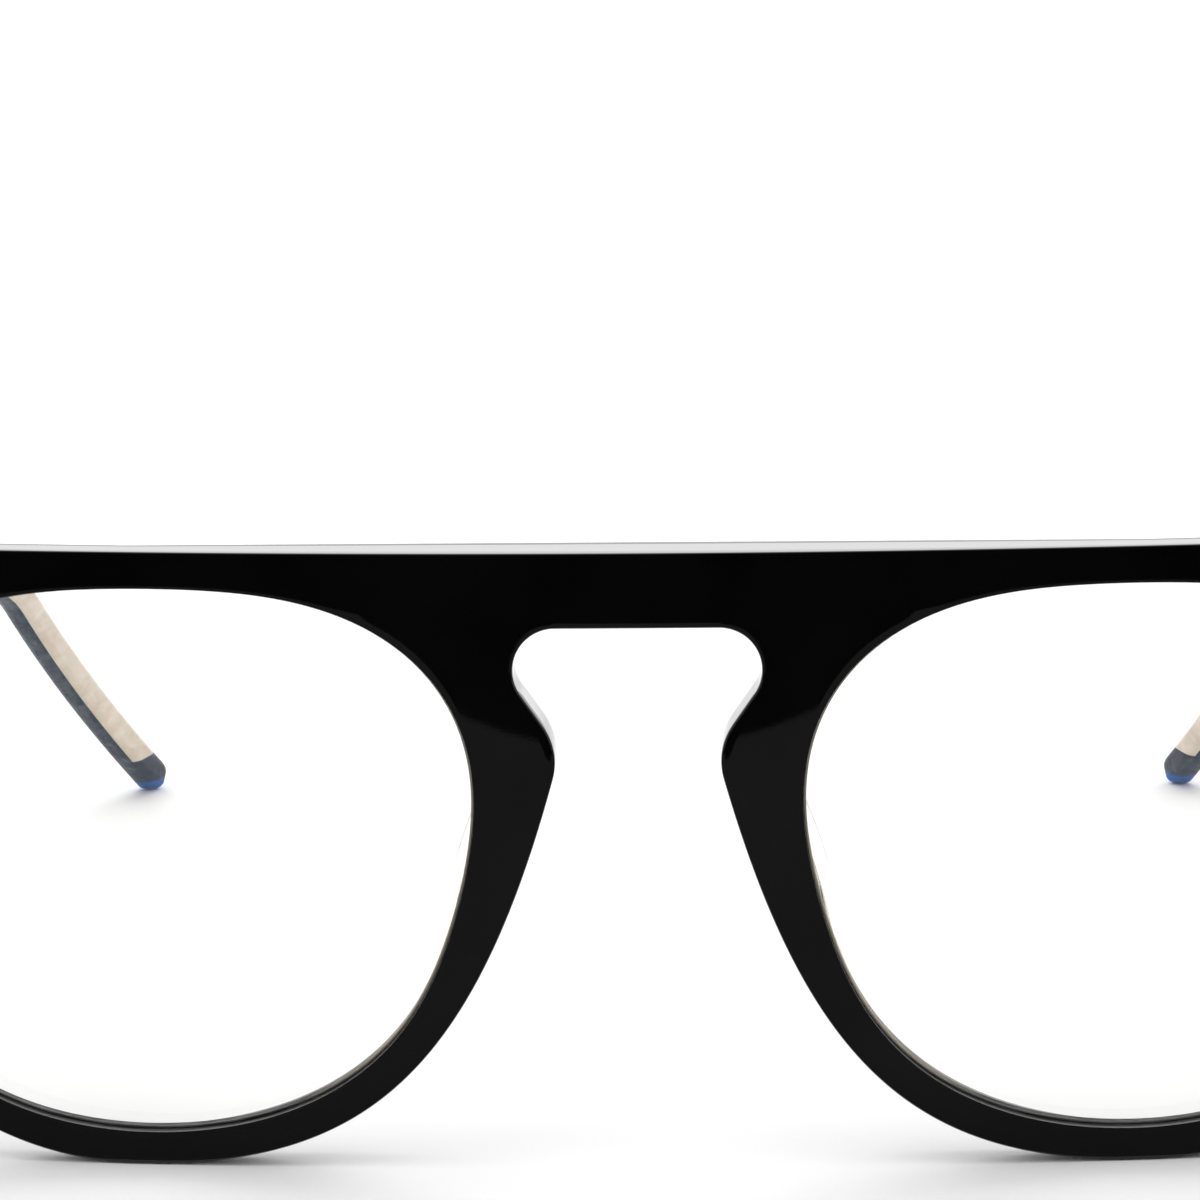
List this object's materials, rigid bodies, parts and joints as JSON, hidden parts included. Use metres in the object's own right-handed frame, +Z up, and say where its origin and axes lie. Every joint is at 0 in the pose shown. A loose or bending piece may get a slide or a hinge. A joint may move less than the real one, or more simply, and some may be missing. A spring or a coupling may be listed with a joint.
{
  "type": "eyeglasses",
  "caption": "Full-rim acetate eyeglasses with a straight flat brow bar, keyhole bridge, clear lenses and laminated folding temples.",
  "frame": {"origin": "on the table plane, straight below the middle of the front's front surface", "axes": "+X across the front to the right of someone who looks at it, -Y is the way the front faces, +Y runs back along the open temples, +Z up from the table"},
  "size_m": [0.1426, 0.136, 0.0481],
  "materials": {
    "black_acetate": "polished",
    "clear_lens": "polished, clear",
    "crystal_acetate": "polished, clear",
    "navy_acetate": "polished, marbled",
    "beige_acetate": "polished, translucent",
    "hinge_metal": "satin",
    "rivet_metal": "satin",
    "screw_metal": "polished",
    "core_wire": "satin"
  },
  "bodies": {
    "front": {"front_frame": "black_acetate", "lens_left": "clear_lens", "nose_pad_left": "crystal_acetate", "front_hinge_left": "hinge_metal", "front_rivets_left": "rivet_metal", "hinge_screw_left": "screw_metal", "lens_right": "clear_lens", "nose_pad_right": "crystal_acetate", "front_hinge_right": "hinge_metal", "front_rivets_right": "rivet_metal", "hinge_screw_right": "screw_metal"},
    "temple_left": {"temple_outer_left": "navy_acetate", "temple_inner_left": "beige_acetate", "temple_core_left": "core_wire", "temple_hinge_left": "hinge_metal", "temple_rivets_left": "rivet_metal"},
    "temple_right": {"temple_outer_right": "navy_acetate", "temple_inner_right": "beige_acetate", "temple_core_right": "core_wire", "temple_hinge_right": "hinge_metal", "temple_rivets_right": "rivet_metal"}
  },
  "joints": [
    {"name": "fold_left", "type": "hinge", "parent": "front", "child": "temple_left", "pos_m": [-0.0655, 0.0141, 0.0423], "axis": [0, 0, -1], "range_deg": [0, 83]},
    {"name": "fold_right", "type": "hinge", "parent": "front", "child": "temple_right", "pos_m": [0.0655, 0.0141, 0.0423], "axis": [0, 0, 1], "range_deg": [0, 78]}
  ]
}
